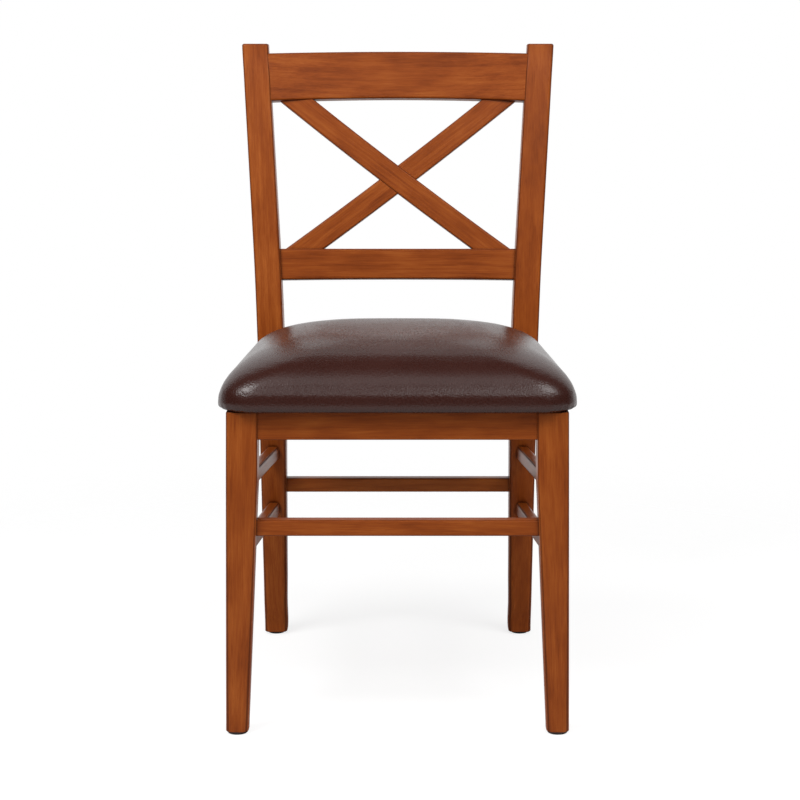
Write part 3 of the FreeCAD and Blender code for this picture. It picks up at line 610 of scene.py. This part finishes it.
def swell(piece, rim_z):
    """Blow the cover up like cloth with air in it, and keep the result."""
    start = coordinates(piece.data)
    pins = piece.vertex_groups.new(name="held")
    holds = np.clip((rim_z + HELD_HEIGHT - start[:, 2]) / HELD_HEIGHT, 0.0, 1.0)
    for number in np.nonzero(holds)[0]:
        pins.add([int(number)], float(holds[number]), "REPLACE")
    cloth = piece.modifiers.new("cover", "CLOTH")
    cloth.settings.vertex_group_mass = pins.name
    cloth.settings.use_pressure = True
    cloth.settings.uniform_pressure_force = PRESSURE
    cloth.settings.effector_weights.gravity = 0.0
    cloth.point_cache.frame_end = LAST_FRAME
    for number in range(1, LAST_FRAME + 1):
        scene.frame_set(number)
    applied(piece)
    moved = evened_out(piece.data, coordinates(piece.data) - start)
    most = np.linalg.norm(moved, axis=1).max()
    moved *= min(1.0, MOST_SWELL / most)
    piece.data.vertices.foreach_set("co", (start + moved).ravel())
    piece.data.update()
    piece.vertex_groups.clear()
    scene.frame_set(1)
    kept = min(most, MOST_SWELL)
    print("the cover swells by up to %.1f mm, and %.1f mm of it is kept" % (1000 * most, 1000 * kept))


remesh(cushion)
swell(cushion, seat_low.z + REST_GAP + RIM_HIGH)
finer = cushion.modifiers.new("finer", "SUBSURF")
finer.levels = 1
finer.render_levels = 1
for face in cushion.data.polygons:
    face.use_smooth = True

# %% [markdown]
# ## Brown vinyl
# The cover is dark brown upholstery vinyl with a soft gloss. Its grain is a net of small
# rounded cells pressed into the sheet, which hardly colours it but breaks up the highlights.
# Smooth Voronoi cells give that net. The sheet also creases finely and is never quite flat
# over foam, so two slower noises are added to the height before it turns into a bump.

# %% The cover's finish
VINYL_DARK = from_srgb(44, 19, 14)
VINYL_MID = from_srgb(62, 29, 22)
CELLS_PER_METRE = 480.0
CREASES_PER_METRE = 90.0
WAVES_PER_METRE = 16.0
PATCHES_PER_METRE = 9.0
EMBOSS_DEPTH = 0.0006


def brown_vinyl():
    finish = Finish("brown_vinyl", {"IOR": 1.45, "Specular IOR Level": 0.50})
    place = finish.node("ShaderNodeTexCoord", output="Object")
    cells = finish.node(
        "ShaderNodeTexVoronoi", {"feature": "SMOOTH_F1"},
        {"Vector": place, "Scale": CELLS_PER_METRE, "Smoothness": 0.4, "Randomness": 1.0},
        "Distance",
    )
    waves = finish.noise(place, WAVES_PER_METRE, 2.0)
    creases = finish.noise(place, CREASES_PER_METRE, 3.0, 0.6)
    patches = finish.noise(place, PATCHES_PER_METRE, 3.0)
    finish.feed("Base Color", finish.tint(patches * 0.7 + cells * 0.3, VINYL_DARK, VINYL_MID))
    finish.feed("Roughness", 0.22 + patches * 0.06 + cells * 0.05)
    finish.raise_surface(cells * 0.65 + creases * 0.4 + waves * 2.0, EMBOSS_DEPTH, 0.5)
    return finish.material


cushion.data.materials.append(brown_vinyl())
spans = coordinates(cushion.data)
print("cushion from", spans.min(0).round(4), "to", spans.max(0).round(4))
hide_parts("seat_cover", "seat_foam")
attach(cushion, "root")
print("cushion points:", len(cushion.data.vertices))

# %% [markdown]
# ## The studio floor
# The floor has to come out white and still keep the chair's soft shadow. A white floor under
# strong lamps clips, shadow and all. So what the camera sees is a darker floor with an even
# glow, while the light that bounces up to the chair comes from a pale one. Farther out the
# floor fades into the background, which leaves no horizon.

# %% Floor
FLOOR_HALF = 6.0
FLOOR_FADE_START = 0.75
FLOOR_FADE_END = 1.6
FLOOR_COLOUR = (0.82, 0.82, 0.82)
FLOOR_SEEN_COLOUR = (0.36, 0.36, 0.36)
FLOOR_GLOW = 0.80


def make_floor():
    mesh = bpy.data.meshes.new("floor")
    corners = [(-FLOOR_HALF, -FLOOR_HALF, 0), (FLOOR_HALF, -FLOOR_HALF, 0),
               (FLOOR_HALF, FLOOR_HALF, 0), (-FLOOR_HALF, FLOOR_HALF, 0)]
    mesh.from_pydata(corners, [], [(0, 1, 2, 3)])
    floor = bpy.data.objects.new("floor", mesh)
    scene.collection.objects.link(floor)
    finish = Finish("pale_floor", {"Roughness": 1.0, "Specular IOR Level": 0.0})
    finish.shader.inputs["Emission Strength"].default_value = 1.0
    seen = finish.node("ShaderNodeLightPath", output="Is Camera Ray")
    finish.feed("Base Color", finish.tint(seen, FLOOR_COLOUR, FLOOR_SEEN_COLOUR))
    finish.feed("Emission Color", seen * FLOOR_GLOW)
    place = finish.node("ShaderNodeTexCoord", output="Object")
    away = finish.node("ShaderNodeVectorMath", {"operation": "LENGTH"}, {0: place}, "Value")
    clear = finish.tree.nodes.new("ShaderNodeBsdfTransparent")
    mixed = finish.tree.nodes.new("ShaderNodeMixShader")
    output = finish.tree.nodes["Material Output"]
    fade = finish.between(away, FLOOR_FADE_START, FLOOR_FADE_END)
    finish.tree.links.new(fade.socket, mixed.inputs[0])
    finish.tree.links.new(finish.shader.outputs[0], mixed.inputs[1])
    finish.tree.links.new(clear.outputs[0], mixed.inputs[2])
    finish.tree.links.new(mixed.outputs[0], output.inputs["Surface"])
    dress(floor, finish.material)


make_floor()
print("floor reaches", FLOOR_HALF, "m each way")

# %% [markdown]
# ## The white background
# The background is white where a camera or a mirror looks at it. Everywhere else it only
# fills the shadows, at a fraction of that strength, so that it doesn't wash out the stain.
# The Light Path node tells the two kinds of rays apart.

# %% World
WORLD_FILL = 0.22


def make_world():
    world = bpy.data.worlds.new("studio")
    world.use_nodes = True
    tree = world.node_tree
    background = tree.nodes["Background"]
    background.inputs["Color"].default_value = (1, 1, 1, 1)
    path = tree.nodes.new("ShaderNodeLightPath")
    direct = Port(tree, path.outputs["Is Camera Ray"]) + Port(tree, path.outputs["Is Glossy Ray"])
    direct = direct + Port(tree, path.outputs["Is Transmission Ray"])
    strength = direct * (1.0 - WORLD_FILL) + WORLD_FILL
    tree.links.new(strength.socket, background.inputs["Strength"])
    scene.world = world


make_world()

# %% [markdown]
# ## The softboxes
# Two wide softboxes stand in front, one to each side, and draw the highlights on the seat's
# corners. Two small ones between them light the front of the seat, and a faint large one
# overhead lifts its top. Each is an area lamp. Its energy is worked out from how bright its
# face looks, so a lamp can change its size and still look as bright.

# %% Softboxes
CHAIR_MIDDLE = Vector((0.0, 0.0, 0.5))


def way_to(turn, lift):
    """The direction at a turn from the front to the right, and a lift over the horizon."""
    return Vector((
        math.sin(turn) * math.cos(lift), -math.cos(turn) * math.cos(lift), math.sin(lift)))


def softbox(name, azimuth, elevation, distance, width, height, radiance):
    """A square lamp aimed at the chair. Azimuth 0 is in front, and 90 to the right."""
    lamp = bpy.data.lights.new(name, "AREA")
    lamp.shape = "RECTANGLE"
    lamp.size = width
    lamp.size_y = height
    lamp.energy = radiance * math.pi * width * height
    turn, lift = math.radians(azimuth), math.radians(elevation)
    way = way_to(turn, lift)
    holder = bpy.data.objects.new(name, lamp)
    holder.location = CHAIR_MIDDLE + way * distance
    holder.rotation_euler = way.to_track_quat("Z", "Y").to_euler()
    scene.collection.objects.link(holder)


softbox("left_key", -47, 44, 2.2, 1.1, 0.6, 13.2)
softbox("right_key", 47, 44, 2.2, 1.1, 0.6, 9.2)
softbox("left_strip", -13, 32, 2.6, 0.60, 0.55, 3.0)
softbox("right_strip", 13, 32, 2.6, 0.60, 0.55, 5.5)
softbox("top_softbox", 0, 62, 2.4, 1.6, 1.0, 1.3)
print("lamps:", [light.name for light in bpy.data.lights])

# %% [markdown]
# ## The dark half of the room
# A photographer works in the dark half of the room, and a varnished face that looks that way
# shows deep colour instead of haze. A dome of dark cloth over the front, the sides and the
# top does the same here. It is open at the back, where the pale ground lights up the edge of
# the seat. The camera doesn't see it, so the other views keep their white ground.

# %% Dark dome
DOME_RADIUS = 4.2
DOME_OPEN_FROM = 2.3
DOME_TOP_ANGLE = 88
DOME_TURNS = 32
DOME_LEVELS = 10
DOME_CLOTH = (0.16, 0.16, 0.16, 1.0)


def dark_dome():
    rows = []
    for level in range(DOME_LEVELS + 1):
        lift = math.radians(DOME_TOP_ANGLE * level / DOME_LEVELS)
        for step in range(DOME_TURNS):
            turn = 2 * math.pi * step / DOME_TURNS
            rows.append(DOME_RADIUS * way_to(turn, lift))
    faces = []
    for level in range(DOME_LEVELS):
        for step in range(DOME_TURNS):
            after = (step + 1) % DOME_TURNS
            face = [level * DOME_TURNS + step, level * DOME_TURNS + after]
            face += [face[1] + DOME_TURNS, face[0] + DOME_TURNS]
            if max(rows[i].y for i in face) < DOME_OPEN_FROM:
                faces.append(face)
    mesh = bpy.data.meshes.new("dark_dome")
    mesh.from_pydata(rows, [], faces)
    dome = bpy.data.objects.new("dark_dome", mesh)
    scene.collection.objects.link(dome)
    cloth = Finish(
        "dark_cloth", {"Base Color": DOME_CLOTH, "Roughness": 1.0, "Specular IOR Level": 0.0})
    dress(dome, cloth.material)
    dome.visible_camera = False
    dome.visible_diffuse = False


dark_dome()

# %% [markdown]
# ## The camera
# The photograph is taken from straight in front with a long lens, from about the height of
# the top rail, looking slightly down. The distance and the pitch come from the perspective of
# the feet and of the back. The camera is a few millimetres off the chair's middle plane.

# %% Camera
LENS = 85.0
CAMERA_PLACE = (0.0032, -2.5872, 0.8438)
CAMERA_PITCH = 9.742

view = bpy.data.cameras.new("front_view")
view.lens = LENS
view.sensor_width = 36.0
camera = bpy.data.objects.new("front_view", view)
camera.location = CAMERA_PLACE
camera.rotation_euler = (math.radians(90.0 - CAMERA_PITCH), 0.0, 0.0)
scene.collection.objects.link(camera)
scene.camera = camera
scene.view_settings.view_transform = "Standard"
print("camera at", CAMERA_PLACE)
